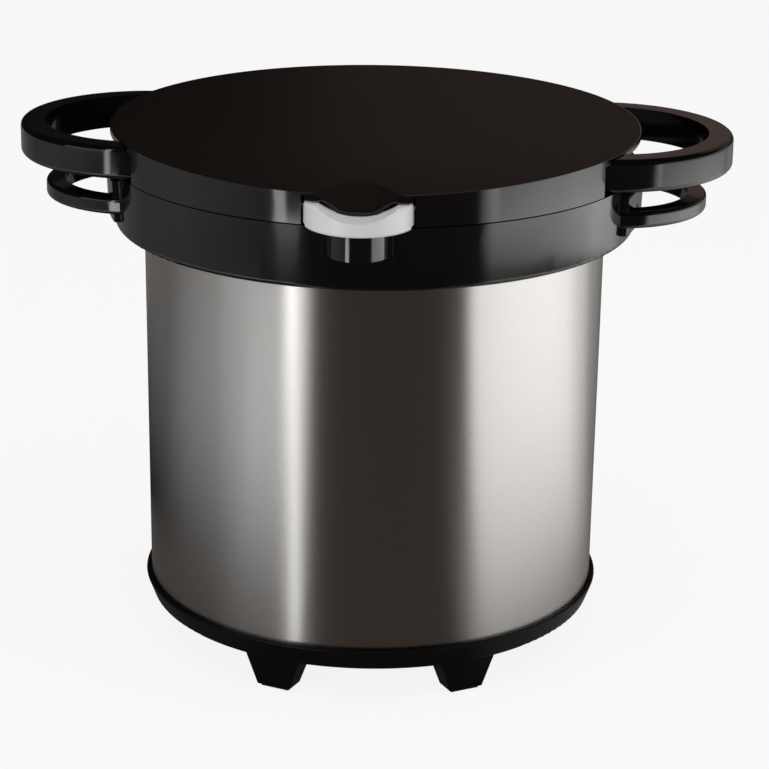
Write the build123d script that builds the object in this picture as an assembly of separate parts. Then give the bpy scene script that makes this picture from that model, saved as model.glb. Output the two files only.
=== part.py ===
from build123d import *
from math import sqrt
import os

# Thermal cooker: a vacuum-insulated steel container with a hinged, lift-off lid, and a cooking pot inside.
# Millimetres, +Z up, the latch lever at the front (-Y), the carrying handles at the sides (+X and -X).
# The origin is on the cooker's axis, on the surface that its feet stand on.

# Clearances and overruns
running_gap = 0.06
snug_gap = 0.05
seat_gap = 0.15
body_gap = 0.4
overrun = 5.0

# Main heights and radii
parting_height = 265.0
lid_radius = 142.0
lid_height = 19.8
lid_front_droop = 3.3
lid_gap = 0.8
collar_setback = 0.5
collar_taper = 1.5
shell_setback = 17.0
collar_radius = lid_radius - collar_setback
collar_band_radius = collar_radius - collar_taper
shell_radius = collar_radius - shell_setback

# Vacuum container
shell_foot_taper = 1.5
shell_foot_radius = shell_radius - shell_foot_taper
shell_wall = 0.8
shell_bottom_height = 24.0
shell_bottom_corner = 9.0
shell_rim_drop = 6.0
shell_rim_height = parting_height - shell_rim_drop
vacuum_gap = 9.5
cavity_radius = shell_radius - vacuum_gap
cavity_floor_height = 52.0
cavity_corner = 14.0
mouth_setback = 4.1
mouth_radius = shell_radius - mouth_setback
mouth_step_drop = 57.0
mouth_step_height = parting_height - mouth_step_drop
mouth_step_rise = 7.0
seal_disc_radius = 9.0
seal_disc_thickness = 1.6
getter_length = 40.0
getter_width = 9.0
getter_thickness = 1.2

# Collar round the top of the container
collar_height = 33.0
collar_round = 3.0
collar_wall = 3.0
collar_lip_setback = 3.1
collar_lip_radius = shell_radius - collar_lip_setback
collar_lip_height = 3.2

# Base cap and feet
base_lip_proud = 1.9
base_lip_radius = shell_radius + base_lip_proud
base_lip_height = 31.4
base_floor_height = 19.3
base_floor_inset = 2.7
base_floor_radius = shell_radius - base_floor_inset
base_rib_inset = 40.5
base_rib_radius = shell_radius - base_rib_inset
base_wall = 2.6
base_lip_round = 1.2
base_turn = 3.5
foot_angles = (-26.0, 26.0, 154.0, 206.0)
foot_inset = 6.0
foot_outer_radius = shell_radius - foot_inset
foot_depth = 15.0
foot_top_width = 33.0
foot_low_width = 19.0
foot_taper_depth = 3.0
pad_thickness = 2.2
pad_inset = 1.5
pad_recess = 0.8

# Handles on the container
body_handle_inset = 14.5
body_handle_centre = collar_radius - body_handle_inset
body_handle_radius = 51.0
body_handle_bar = 10.0
body_handle_thickness = 9.0
body_handle_drop = 13.0
body_handle_round = 2.2
handle_plate_half_width = 50.0
handle_plate_thickness = 3.0
handle_plate_drop = 4.0
handle_plate_height = 22.0
handle_screw_spacing = 64.0

# Screws
screw_radius = 1.9
screw_length = 12.0
screw_head_radius = 3.6
screw_head_height = 2.4

# Lid shell and cover
skirt_wall = 3.0
skirt_rim = 0.8
skirt_flange = 1.6
skirt_flange_width = 24.0
plate_wall = 1.4
recess_depth = 15.0
recess_floor_radius = lid_radius - recess_depth

# Thumb dish at the front of the lid
dish_edge_height = 8.4
dish_depth = lid_height - lid_front_droop - dish_edge_height
dish_half_width = 20.8
dish_floor_half_width = 7.2
dish_corner = 12.0
dish_landing = 3.0
dish_ramp_tilt = 30.0
dish_run = 20.0

# Lid handles
lid_handle_inset = 18.0
lid_handle_centre = lid_radius - lid_handle_inset
lid_handle_radius = 67.0
recess_clear = 6.0
recess_half_width = lid_handle_radius + recess_clear
lid_handle_bar = 13.0
lid_handle_root = 20.0
lid_handle_low_gap = 0.6
lid_handle_top_gap = 0.8
lid_handle_round = 3.0

# Lid liner, foam and seal
liner_wall = 1.6
liner_flange = 2.0
liner_rise = 1.3
plug_gap = 3.0
plug_radius = mouth_radius - plug_gap
plug_depth = 12.0
seal_setback = 0.9
seal_outer_radius = shell_radius - seal_setback
foam_gap = 0.3
liner_screw_inset = 10.5
liner_screw_circle = lid_radius - liner_screw_inset
liner_screw_clear = 20.0
liner_screw_boss_radius = 4.2

# Lever, its pivots and its hook
lever_half_width = 27.5
lever_root_inset = 5.0
lever_root = lid_radius - lever_root_inset
lever_reach = 15.5
lever_front = lid_radius + lever_reach
lever_top = 12.1
lever_bottom = -0.8
lever_lip_height = 1.4
lever_round = 1.6
lever_dish_gap = 1.0
lever_hollow_half_width = 19.6
lever_hollow_depth = 5.8
notch_gap = 0.8
notch_height = lever_top + notch_gap
pocket_depth = 13.0
pocket_back = lid_radius - pocket_depth
pocket_wall = 2.2
pivot_inset = 5.5
pivot_y = lid_radius - pivot_inset
pivot_rise = 10.6
pivot_pin_radius = 1.5
pivot_knuckle_radius = 2.6
arm_inner = 19.5
arm_outer = 26.5
heel_length = 6.4
heel_thickness = 2.4
spring_wire = 0.6
spring_radius = 1.3
spring_turns = 4
spring_shelf = 2.0
hook_half_width = 5.0
hook_reach = 4.0
hook_front = lid_radius + hook_reach
hook_thickness = 1.6
hook_nose = 1.1
hook_nose_height = 2.2
hook_drop = 9.4
hook_tongue = 3.4

# Latch boss and keeper on the collar
boss_inset = 4.0
boss_centre = lid_radius - boss_inset
boss_radius = 15.5
boss_wall = 2.3
boss_top_drop = 1.6
boss_height = 12.6
boss_flange_half_width = 17.5
boss_flange_thickness = 2.0
keeper_thickness = 1.8
keeper_gap = 0.3
keeper_rise = 0.6

# Rear hinge
hinge_reach = 8.5
hinge_y = lid_radius + hinge_reach
hinge_rise = 8.0
hinge_knuckle_radius = 5.5
hinge_pin_radius = 2.0
lid_knuckle_half_width = 15.6
block_knuckle_outer = 30.0
knuckle_gap = 0.5
web_low_rise = 2.6
web_high_rise = 12.0
block_fore = 6.9
block_front = hinge_y - block_fore
block_aft = 5.9
block_rear = hinge_y + block_aft
block_low_drop = 2.2
block_high_rise = 1.6
tongue_half_width = 14.0
tongue_fore = 4.1
tongue_front = hinge_y - tongue_fore
tongue_aft = 1.9
tongue_rear = hinge_y + tongue_aft
tongue_depth = 20.0
socket_half_width = 34.0
socket_aft = 7.0
socket_rear = hinge_y + socket_aft
socket_depth = 27.0
socket_round = 4.0
tongue_gap = 0.4
socket_screw_spacing = 48.0

# Cooking pot
pot_gap = 3.5
pot_radius = cavity_radius - pot_gap
pot_wall = 1.0
pot_corner = 10.0
pot_rim_drop = 37.0
pot_rim_height = parting_height - pot_rim_drop
pot_rim_proud = 1.5
pot_rim_radius = pot_radius + pot_rim_proud
pot_rim_bead = 2.0
pot_disc_inset = 13.5
pot_disc_radius = pot_radius - pot_disc_inset
pot_disc_thickness = 5.0
pot_disc_round = 1.6
pot_rest_gap = 0.2
ear_thickness = 2.6
ear_half_width = 8.5
ear_height = 17.0
ear_hole_depth = 1.9
rivet_radius = 1.8
rivet_head_radius = 3.0
rivet_head_height = 0.9
rivet_spacing = 10.0
rivet_drop = 12.5

# Bail of the pot
bail_wire = 2.0
bail_drop = 4.5
bail_clearance = 5.3
bail_reach = pot_radius + bail_clearance
bail_rest_angle = 8.0
grip_radius = 4.2
grip_half_angle = 22.0

# Pot lid
pot_lid_inset = 0.7
pot_lid_radius = pot_radius - pot_lid_inset
pot_lid_wall = 0.9
pot_lid_shoulder_inset = 8.5
pot_lid_shoulder_radius = pot_radius - pot_lid_shoulder_inset
pot_lid_rise = 11.0
pot_lid_crown_share = 0.28
pot_lid_skirt_inset = 1.9
pot_lid_skirt_radius = pot_radius - pot_lid_skirt_inset
pot_lid_skirt_depth = 7.0
knob_neck_radius = 7.0
knob_neck_height = 3.0
knob_radius = 16.0
knob_height = 6.6
knob_round = 2.4
knob_screw_radius = 2.0
knob_screw_head_radius = 4.5
knob_screw_head_height = 1.5
knob_screw_grip = 2.2

# Places worked out from the sizes above
lid_low = parting_height + lid_gap
lid_top = parting_height + lid_height
collar_low = parting_height - collar_height
shell_top = shell_rim_height
pot_low = cavity_floor_height + pot_rest_gap
pot_bottom = pot_low + pot_disc_thickness
pivot_z = parting_height + pivot_rise
hinge_z = parting_height + hinge_rise
bail_z = pot_rim_height - bail_drop
plug_low = parting_height - plug_depth
liner_low = parting_height + liner_rise
liner_high = liner_low + liner_flange
far = lid_radius * 2


def disc(radius, low, high):
    """A plain upright disc about the cooker's axis."""
    return Pos(0, 0, low) * extrude(Circle(radius), high - low)


def ring(outer, inner, low, high):
    """A plain upright ring about the cooker's axis."""
    return Pos(0, 0, low) * extrude(Circle(outer) - Circle(inner), high - low)


def block(x_low, x_high, y_low, y_high, z_low, z_high):
    """A box given by its six limits."""
    size = (x_high - x_low, y_high - y_low, z_high - z_low)
    centre = ((x_low + x_high) / 2, (y_low + y_high) / 2, (z_low + z_high) / 2)
    return Pos(*centre) * Box(*size)


def rod_x(radius, x_low, x_high, y, z):
    """A round rod along X."""
    return Pos((x_low + x_high) / 2, y, z) * Rot(Y=90) * Cylinder(radius, x_high - x_low)


def rod_y(radius, y_low, y_high, x, z):
    """A round rod along Y."""
    return Pos(x, (y_low + y_high) / 2, z) * Rot(X=90) * Cylinder(radius, y_high - y_low)


def rod_z(radius, z_low, z_high, x, y):
    """An upright round rod."""
    return Pos(x, y, (z_low + z_high) / 2) * Cylinder(radius, z_high - z_low)


def turned(outline):
    """A body of revolution from a closed outline of (radius, height) lines."""
    return revolve(Plane.XZ * make_face(outline), Axis.Z)


def both_sides(piece):
    """The piece and its mirror image across the cooker's middle, as separate solids."""
    return Compound([piece, mirror(piece, Plane.YZ)])


def side_of(piece, side):
    """The piece as modelled on the +X side, or its mirror image on the -X side."""
    return piece if side > 0 else mirror(piece, Plane.YZ)


def under_lid_surface(drop):
    """All that lies below the lid's top surface, lowered by a drop: flat, then drooping to the front."""
    bend = lid_radius / 2
    droop_radius = (bend ** 2 + lid_front_droop ** 2) / (2 * lid_front_droop)
    high = lid_top - drop
    flat = block(-far, far, -bend, far, 0, high)
    droop = rod_x(droop_radius - drop, -far, far, -bend, lid_top - droop_radius)
    return flat + (droop & block(-far, far, -far, -bend, 0, lid_top))


def thumb_dish(grown):
    """The scoop for the thumb, grown all round: a level floor at the lid's edge, then a ramp."""
    wide = dish_half_width * 2 - dish_floor_half_width
    floor_line = (dish_floor_half_width, 0)
    top_line = (wide, dish_depth * 2)
    section = make_face(Polyline(
        (-floor_line[0], 0), floor_line, top_line, (-wide, top_line[1]), (-floor_line[0], 0)))
    section = fillet(section.vertices().group_by(Axis.Y)[0], dish_corner)
    if grown > 0:
        section = offset(section, grown)
    floor_height = parting_height + dish_edge_height
    start = Plane((0, -lid_radius + dish_landing, floor_height), x_dir=(-1, 0, 0), z_dir=(0, 1, 0))
    uphill = start.z_dir.rotate(Axis.X, dish_ramp_tilt)
    section = start * section
    return extrude(section, -dish_run) + extrude(section, dish_run * 2, dir=uphill)


def lid_outline(inset):
    """The lid seen from above: a circle with a deep recess for the fingers at each handle."""
    fingers = Rectangle(far * 2, (recess_half_width + inset) * 2) - Circle(recess_floor_radius - inset)
    return Circle(lid_radius - inset) - fingers


def collar_outside(offset):
    """The collar's outer form: a slightly tapered band with a rounded lower edge, turned in to the steel."""
    band = (collar_band_radius + offset, collar_low)
    top = (collar_radius + offset, parting_height)
    form = turned(Polyline((0, collar_low), band, top, (0, parting_height), (0, collar_low)))
    return fillet(form.edges().group_by(Axis.Z)[0], collar_round)


def screw(x, y, z, direction):
    """A small pan-head screw whose head seats at a point, with its shank along +1 or -1 X."""
    shank_end = x + direction * screw_length
    shank = rod_x(screw_radius, min(x, shank_end), max(x, shank_end), y, z)
    head_end = x - direction * screw_head_height
    head = rod_x(screw_head_radius, min(x, head_end), max(x, head_end), y, z)
    return shank + head


def shell_form(offset, top):
    """The container's outer form, grown or shrunk by an offset: a slight taper and a rounded bottom."""
    low = shell_bottom_height - offset
    outline = Polyline(
        (0, low), (shell_foot_radius + offset, low), (shell_radius + offset, top), (0, top), (0, low))
    form = turned(outline)
    return fillet(form.edges().group_by(Axis.Z)[0], shell_bottom_corner + offset)


def build_outer_shell():
    """The brushed steel outside of the container, with a closed bottom."""
    return shell_form(0, shell_top) - shell_form(-shell_wall, shell_top + overrun)


def cavity_form(offset, top):
    """The inside of the container, grown by a wall: a pot-shaped hollow that steps out at the mouth."""
    floor = cavity_floor_height - offset
    step_low = mouth_step_height
    step_high = mouth_step_height + mouth_step_rise
    outline = Polyline(
        (0, floor), (cavity_radius + offset, floor), (cavity_radius + offset, step_low),
        (mouth_radius + offset, step_high), (mouth_radius + offset, top), (0, top), (0, floor))
    form = turned(outline)
    return fillet(form.edges().group_by(Axis.Z)[0], cavity_corner + offset)


def build_inner_shell():
    """The steel liner of the container, welded to the outside at the rim."""
    shell = cavity_form(shell_wall, shell_top)
    rim = ring(shell_radius - shell_wall - seat_gap, mouth_radius, shell_top - shell_wall, shell_top)
    return shell + rim - cavity_form(0, shell_top + overrun)


def build_vacuum_seal_disc():
    """The brazed disc that closes the evacuation hole under the container."""
    return disc(seal_disc_radius, shell_bottom_height - seal_disc_thickness, shell_bottom_height)


def build_getter_strip():
    """The getter in the vacuum space, under the liner's floor."""
    high = cavity_floor_height - shell_wall
    half_length = getter_length / 2
    half_width = getter_width / 2
    return block(-half_length, half_length, -half_width, half_width, high - getter_thickness, high)


def build_collar():
    """The gloss plastic collar: a hollow ring that hangs on the container's rim."""
    hollow_high = parting_height - collar_wall
    hollow = collar_outside(-collar_wall) & disc(far, collar_low + collar_wall, hollow_high)
    hollow -= disc(collar_lip_radius, collar_low, parting_height)
    solid = collar_outside(0) - hollow
    lip_low = parting_height - collar_lip_height
    solid -= disc(shell_radius + seat_gap, collar_low - overrun, lip_low)
    solid -= disc(collar_lip_radius, collar_low, parting_height + overrun)
    for side in (-1, 1):
        for y in (-handle_screw_spacing / 2, handle_screw_spacing / 2):
            z = parting_height - handle_plate_drop - handle_plate_height / 2
            solid -= rod_x(screw_radius + seat_gap, min(0, side * far), max(0, side * far), y, z)
    for x in (-socket_screw_spacing / 2, socket_screw_spacing / 2):
        solid -= rod_y(screw_radius + seat_gap, 0, far, x, parting_height - socket_depth / 2)
    return solid


def build_collar_gasket():
    """The silicone ring between the container's rim and the collar."""
    inner = collar_lip_radius
    low = shell_top
    return ring(shell_radius, inner, low, parting_height - collar_lip_height)


def foot_form(angle):
    """One tapered foot, from inside the base cap's floor down to its pad."""
    centre = foot_outer_radius - foot_depth / 2
    top_face = Pos(0, -centre, base_floor_height + base_wall / 2) * Rectangle(foot_top_width, foot_depth)
    low_depth = foot_depth - foot_taper_depth
    low_face = Pos(0, -centre, pad_thickness - pad_recess) * Rectangle(foot_low_width, low_depth)
    return Rot(Z=angle + base_turn) * loft([low_face, top_face])


def foot_pad_form(angle, grow, low, high):
    """The pad under one foot, or the recess that it sits in when grown a little."""
    centre = foot_outer_radius - foot_depth / 2
    width = foot_low_width - pad_inset * 2 + grow * 2
    depth = foot_depth - foot_taper_depth - pad_inset * 2 + grow * 2
    pad = extrude(Pos(0, -centre, low) * Rectangle(width, depth), high - low)
    return Rot(Z=angle + base_turn) * pad


def build_base_cap():
    """The satin plastic cup under the container, with its lip, four feet and a ring that bears the steel."""
    low = base_floor_height
    high = base_lip_height
    outline = Polyline(
        (0, low), (base_floor_radius, low), (base_lip_radius, high), (0, high), (0, low))
    cup = turned(outline)
    cup = fillet(cup.edges().group_by(Axis.Z)[0], base_wall)
    cup = fillet(cup.edges().group_by(Axis.Z)[-1], base_lip_round)
    cup -= shell_form(seat_gap, shell_top)
    cup -= disc(shell_foot_radius - shell_bottom_corner, low + base_wall, high)
    cup += ring(base_rib_radius + base_wall, base_rib_radius, low + base_wall / 2, shell_bottom_height)
    for angle in foot_angles:
        cup += foot_form(angle) - disc(far, low + base_wall / 2, high)
    for angle in foot_angles:
        cup -= foot_pad_form(angle, seat_gap, 0, pad_thickness)
    return cup


def build_foot_pads():
    """Four soft pads, one under each foot."""
    return Compound([foot_pad_form(angle, 0, 0, pad_thickness) for angle in foot_angles])


def build_body_handle(side):
    """A low carrying loop on a curved plate that is screwed to the collar."""
    high = parting_height - body_handle_drop
    low = high - body_handle_thickness
    loop = extrude(Pos(body_handle_centre, 0, low) * Circle(body_handle_radius), high - low)
    hole = Pos(body_handle_centre, 0, 0) * Circle(body_handle_radius - body_handle_bar)
    loop = fillet(loop.edges(), body_handle_round)
    cut = extrude(Pos(0, 0, low - overrun) * hole, high - low + overrun * 2)
    loop = loop - cut
    plate_high = parting_height - handle_plate_drop
    plate_low = plate_high - handle_plate_height
    half = handle_plate_half_width
    plate = collar_outside(handle_plate_thickness) & block(0, far, -half, half, plate_low, plate_high)
    handle = (loop + plate) - collar_outside(snug_gap)
    for y in (-handle_screw_spacing / 2, handle_screw_spacing / 2):
        hole_end = collar_radius + handle_plate_thickness / 2
        z = parting_height - handle_plate_drop - handle_plate_height / 2
        handle -= rod_x(screw_radius, 0, hole_end, y, z)
    return side_of(handle, side)


def build_body_handle_screws():
    """The screws that hold the carrying loops, driven from inside the collar."""
    z = parting_height - handle_plate_drop - handle_plate_height / 2
    screws = []
    for y in (-handle_screw_spacing / 2, handle_screw_spacing / 2):
        seat = sqrt((collar_band_radius - collar_wall) ** 2 - (abs(y) + screw_head_radius) ** 2)
        end = collar_radius + handle_plate_thickness / 2
        wall = sqrt(end ** 2 - y ** 2)
        shank = rod_x(screw_radius - snug_gap, seat, wall - handle_plate_thickness / 2, y, z)
        head = rod_x(screw_head_radius, seat - screw_head_height, seat, y, z)
        screws.append(shank + head)
    return Compound(screws + [mirror(one, Plane.YZ) for one in screws])


def build_latch_boss():
    """The half-round housing below the lever, with room for the hook to swing forward."""
    high = parting_height - boss_top_drop
    low = high - boss_height
    outside = rod_z(boss_radius, low, high, 0, -boss_centre)
    flange_front = collar_radius + boss_flange_thickness
    half = boss_flange_half_width
    flanges = block(-half, half, -flange_front, -boss_centre, low, high)
    hollow = rod_z(boss_radius - boss_wall, low + boss_wall, high + overrun, 0, -boss_centre)
    keeper_low, keeper_high = keeper_limits()
    width = boss_radius - boss_wall / 2
    slot = block(-width, width, -keeper_front(), -boss_centre, keeper_low, keeper_high)
    return (outside + flanges) - hollow - slot - collar_outside(snug_gap)


def keeper_limits():
    """Heights of the keeper plate, just above the nose of the hook."""
    nose_top = parting_height - hook_drop + hook_nose_height
    low = nose_top + keeper_rise
    return low, low + keeper_thickness


def keeper_front():
    """How far forward the keeper plate reaches: just short of the hook's nose."""
    return hook_front - hook_thickness - hook_nose - keeper_gap


def build_keeper_plate():
    """The steel plate across the boss that the hook's nose stands under."""
    low, high = keeper_limits()
    width = boss_radius - boss_wall / 2
    plate = block(-width, width, -keeper_front(), -boss_centre, low, high)
    plate = plate & rod_z(width, low, high, 0, -boss_centre)
    return plate - collar_outside(seat_gap)


def build_hinge_socket():
    """The socket at the back of the collar that the lid's hinge block plugs into."""
    high = parting_height - block_low_drop - body_gap
    low = parting_height - socket_depth
    half = socket_half_width
    solid = block(-half, half, boss_centre, socket_rear, low, high)
    solid = fillet(solid.edges().filter_by(Axis.Z).group_by(Axis.Y)[-1], socket_round)
    solid -= collar_outside(snug_gap)
    width = tongue_half_width + tongue_gap
    slot_low = high - tongue_depth - tongue_gap
    solid -= block(-width, width, tongue_front - tongue_gap, tongue_rear + tongue_gap, slot_low, far * 2)
    for x in (-socket_screw_spacing / 2, socket_screw_spacing / 2):
        end = socket_rear - handle_plate_thickness
        solid -= rod_y(screw_radius, 0, end, x, parting_height - socket_depth / 2)
    return solid


def build_hinge_socket_screws():
    """The two screws that hold the hinge socket, driven from inside the collar."""
    z = parting_height - socket_depth / 2
    screws = []
    for x in (-socket_screw_spacing / 2, socket_screw_spacing / 2):
        seat = sqrt((collar_band_radius - collar_wall) ** 2 - (abs(x) + screw_head_radius) ** 2)
        shank = rod_y(screw_radius - snug_gap, seat, socket_rear - handle_plate_thickness, x, z)
        head = rod_y(screw_head_radius, seat - screw_head_height, seat, x, z)
        screws.append(shank + head)
    return Compound(screws)


def build_hinge_block():
    """The block that plugs into the socket and carries the lid's hinge pin."""
    low = parting_height - block_low_drop
    high = parting_height + block_high_rise
    half = block_knuckle_outer
    solid = block(-half, half, block_front, block_rear, low, high)
    tongue_low = low - body_gap - tongue_depth
    solid += block(-tongue_half_width, tongue_half_width, tongue_front, tongue_rear, tongue_low, high)
    knuckle_inner = lid_knuckle_half_width + knuckle_gap
    for side in (-1, 1):
        ends = sorted((side * knuckle_inner, side * block_knuckle_outer))
        solid += rod_x(hinge_knuckle_radius, ends[0], ends[1], hinge_y, hinge_z)
        rear = hinge_y + hinge_knuckle_radius
        solid += block(ends[0], ends[1], hinge_y - hinge_knuckle_radius, rear, low, hinge_z)
    solid -= rod_x(hinge_pin_radius + snug_gap, -far, far, hinge_y, hinge_z)
    return solid


def build_hinge_pin():
    """The steel pin through the hinge block and the lid's knuckle."""
    return rod_x(hinge_pin_radius, -block_knuckle_outer, block_knuckle_outer, hinge_y, hinge_z)


def lever_room():
    """The notch in the lid's side for the lever, and the pocket behind it for the pivots."""
    width = lever_half_width + notch_gap
    notch = block(-width, width, -far, -pocket_back, 0, parting_height + notch_height)
    front = pivot_y + pivot_knuckle_radius + body_gap
    pocket = block(-width, width, -front, -pocket_back, 0, lid_top)
    return notch + (pocket & under_lid_surface(plate_wall))


def build_lid_skirt():
    """The gloss side of the lid with its recesses, lever pocket and hinge knuckle."""
    height = lid_top - lid_low
    walls = Pos(0, 0, lid_low) * extrude(lid_outline(0) - lid_outline(skirt_wall), height)
    below_plate = under_lid_surface(plate_wall)
    below_flange = under_lid_surface(plate_wall + skirt_flange)
    flange = ring(lid_radius, lid_radius - skirt_flange_width, lid_low, lid_top)
    flange = (flange & below_plate) - below_flange
    rim = ring(lid_radius, lid_radius - skirt_rim, lid_low, lid_top)
    rim = (rim & under_lid_surface(0)) - below_flange
    skirt = (walls & below_plate) + flange + rim
    width = lever_half_width + notch_gap
    back = pocket_back - pocket_wall
    pocket = block(-width - pocket_wall, width + pocket_wall, -lid_radius, -back, lid_low, lid_top)
    pocket = pocket & below_plate & disc(lid_radius - skirt_wall / 2, lid_low, lid_top)
    skirt += pocket
    skirt -= lever_room()
    shelf_high = lid_low + spring_shelf
    for side in (-1, 1):
        ends = sorted((side * arm_inner, side * width))
        rear_limit = pivot_y - pivot_knuckle_radius
        skirt += block(ends[0], ends[1], -rear_limit, -pocket_back, lid_low, shelf_high)
    skirt -= thumb_dish(plate_wall)
    lip = ring(lid_radius, lid_radius - skirt_rim, lid_low, lid_top) & under_lid_surface(0)
    skirt += (lip & thumb_dish(plate_wall)) - thumb_dish(0)
    skirt -= rod_x(pivot_pin_radius, -width - pocket_wall, width + pocket_wall, -pivot_y, pivot_z)
    for x, y in liner_screw_places():
        post = rod_z(liner_screw_boss_radius, liner_high, lid_top, x, y)
        hole = rod_z(screw_radius, liner_high, liner_high + screw_length / 2, x, y)
        skirt += (post - hole) & below_plate
    half = lid_knuckle_half_width
    web_low = parting_height + web_low_rise
    web = block(-half, half, lid_radius - skirt_wall, hinge_y, web_low, parting_height + web_high_rise)
    knuckle = rod_x(hinge_knuckle_radius, -half, half, hinge_y, hinge_z)
    skirt += web - disc(lid_radius - skirt_wall, 0, far * 2)
    skirt += knuckle
    skirt -= rod_x(hinge_pin_radius + running_gap, -half - overrun, half + overrun, hinge_y, hinge_z)
    for y in (-lid_handle_mid(), lid_handle_mid()):
        skirt -= rod_x(screw_radius + seat_gap, -lid_handle_centre, -lid_screw_seat(), y, lid_screw_height())
        skirt -= rod_x(screw_radius + seat_gap, lid_screw_seat(), lid_handle_centre, y, lid_screw_height())
    return skirt


def liner_screw_places():
    """The liner's four screws, on a circle inside the skirt and clear of the finger recesses."""
    y = recess_half_width + liner_screw_clear
    x = sqrt(liner_screw_circle ** 2 - y ** 2)
    return [(x, y), (-x, y), (-x, -y), (x, -y)]


def lid_handle_mid():
    """Distance of the middle of each handle leg from the cooker's centre plane."""
    return lid_handle_radius - lid_handle_bar / 2


def lid_screw_seat():
    """Where the heads of the lid handle screws seat, inside the recess wall."""
    reach = lid_handle_mid() + screw_head_radius
    return sqrt((recess_floor_radius - skirt_wall) ** 2 - reach ** 2)


def lid_screw_height():
    """Height of the lid handle screws, at the middle of the lid's side."""
    return (lid_low + lid_top) / 2 - skirt_flange / 2


def build_lid_top_plate():
    """The matte top cover of the lid, with the thumb dish pressed into its front edge."""
    edge = lid_radius - skirt_rim - seat_gap
    cover = disc(edge, lid_low, lid_top) & under_lid_surface(0)
    sheet = cover - under_lid_surface(plate_wall)
    dish_shell = thumb_dish(plate_wall) & cover
    return (sheet + dish_shell) - thumb_dish(0)


def build_lid_handle(side):
    """A tall half-round handle on the lid, screwed to the floor of the finger recess."""
    low = lid_low + lid_handle_low_gap
    high = lid_top - lid_handle_top_gap
    height = high - low
    inner = lid_handle_radius - lid_handle_bar
    reach = lid_handle_radius + lid_handle_root * 2
    outer = Pos(lid_handle_centre, 0) * Circle(lid_handle_radius)
    outer += Pos(lid_handle_centre - reach / 2, 0) * Rectangle(reach, lid_handle_radius * 2)
    hole = Pos(lid_handle_centre, 0) * Circle(inner)
    hole += Pos(lid_handle_centre - reach / 2, 0) * Rectangle(reach + overrun * 2, inner * 2)
    bar = Pos(0, 0, low) * extrude(outer, height)
    bar = fillet(bar.edges().group_by(Axis.Z)[-1] + bar.edges().group_by(Axis.Z)[0], lid_handle_round)
    bar -= Pos(0, 0, low - overrun) * extrude(hole, height + overrun * 2)
    bar -= disc(recess_floor_radius + snug_gap, 0, far * 2)
    bar -= disc(lid_radius + body_gap, lid_top - plate_wall - skirt_flange - body_gap, lid_top)
    for y in (-lid_handle_mid(), lid_handle_mid()):
        bar -= rod_x(screw_radius, 0, lid_screw_seat() + screw_length, y, lid_screw_height())
    return side_of(bar, side)


def build_lid_handle_screws():
    """The screws that hold the lid handles, driven from inside the lid."""
    screws = []
    for y in (-lid_handle_mid(), lid_handle_mid()):
        screws.append(screw(lid_screw_seat(), y, lid_screw_height(), 1))
    return Compound(screws + [mirror(one, Plane.YZ) for one in screws])


def build_lid_liner():
    """The underside of the lid: a flange that closes the skirt and a plug that fills the mouth."""
    outline = lid_outline(skirt_wall + seat_gap)
    flange = Pos(0, 0, liner_low) * extrude(outline, liner_flange)
    width = lever_half_width + notch_gap + pocket_wall + seat_gap
    flange -= block(-width, width, -far, -pocket_back + pocket_wall + seat_gap, 0, lid_top)
    cup = disc(plug_radius, plug_low, liner_high)
    cup = fillet(cup.edges().group_by(Axis.Z)[0], liner_wall * 2)
    inside = disc(plug_radius - liner_wall, plug_low + liner_wall, liner_high + overrun)
    inside = fillet(inside.edges().group_by(Axis.Z)[0], liner_wall)
    liner = flange + cup - inside
    for x, y in liner_screw_places():
        liner -= rod_z(screw_radius + seat_gap, liner_low, liner_high, x, y)
    return liner


def build_lid_liner_screws():
    """The screws that hold the liner to the skirt's posts, put in from below."""
    screws = []
    for x, y in liner_screw_places():
        shank = rod_z(screw_radius - snug_gap, liner_low, liner_high + screw_length / 2, x, y)
        head_low = liner_low - (liner_low - parting_height) / 2
        head = rod_z(screw_head_radius, head_low, liner_low, x, y)
        screws.append(shank + head)
    return Compound(screws)


def build_lid_foam():
    """The insulating foam that fills the lid between the liner and the cover."""
    radius = plug_radius - liner_wall - foam_gap
    foam = disc(radius, plug_low + liner_wall, lid_top)
    foam = fillet(foam.edges().group_by(Axis.Z)[0], liner_wall)
    return (foam & under_lid_surface(plate_wall)) - thumb_dish(plate_wall)


def build_lid_seal():
    """The flat silicone ring under the lid that meets the top of the collar."""
    return ring(seal_outer_radius, plug_radius + seat_gap, parting_height + body_gap, liner_low)


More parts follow.
